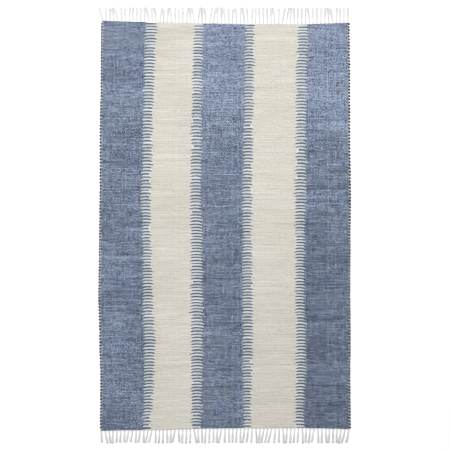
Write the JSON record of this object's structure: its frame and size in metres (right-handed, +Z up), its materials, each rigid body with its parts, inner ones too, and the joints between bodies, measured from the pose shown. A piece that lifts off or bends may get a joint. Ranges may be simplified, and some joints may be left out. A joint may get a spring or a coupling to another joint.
{
  "type": "flatweave cotton rag rug with knotted fringe",
  "caption": "Flatweave cotton rag rug in broad blue and cream lengthwise stripes with comb-edged joins and a knotted fringe at each end, lying flat on a floor.",
  "frame": {"origin": "on the floor, at the centre of the rug's bounding rectangle", "axes": "+X across the rug from the left selvedge to the right one, +Y along the stripes towards the far end, +Z up from the floor through the cloth"},
  "size_m": [1.5416, 2.66, 0.007],
  "materials": {
    "blue_rag_cotton": "woven strips of washed blue cotton, matt",
    "cream_rag_cotton": "woven strips of undyed cream cotton, matt",
    "white_warp_cotton": "soft twisted off-white cotton yarn, matt"
  },
  "bodies": {
    "root": {"rug_cloth": "blue_rag_cotton", "fringe_far": "white_warp_cotton", "fringe_near": "white_warp_cotton"}
  },
  "joints": []
}
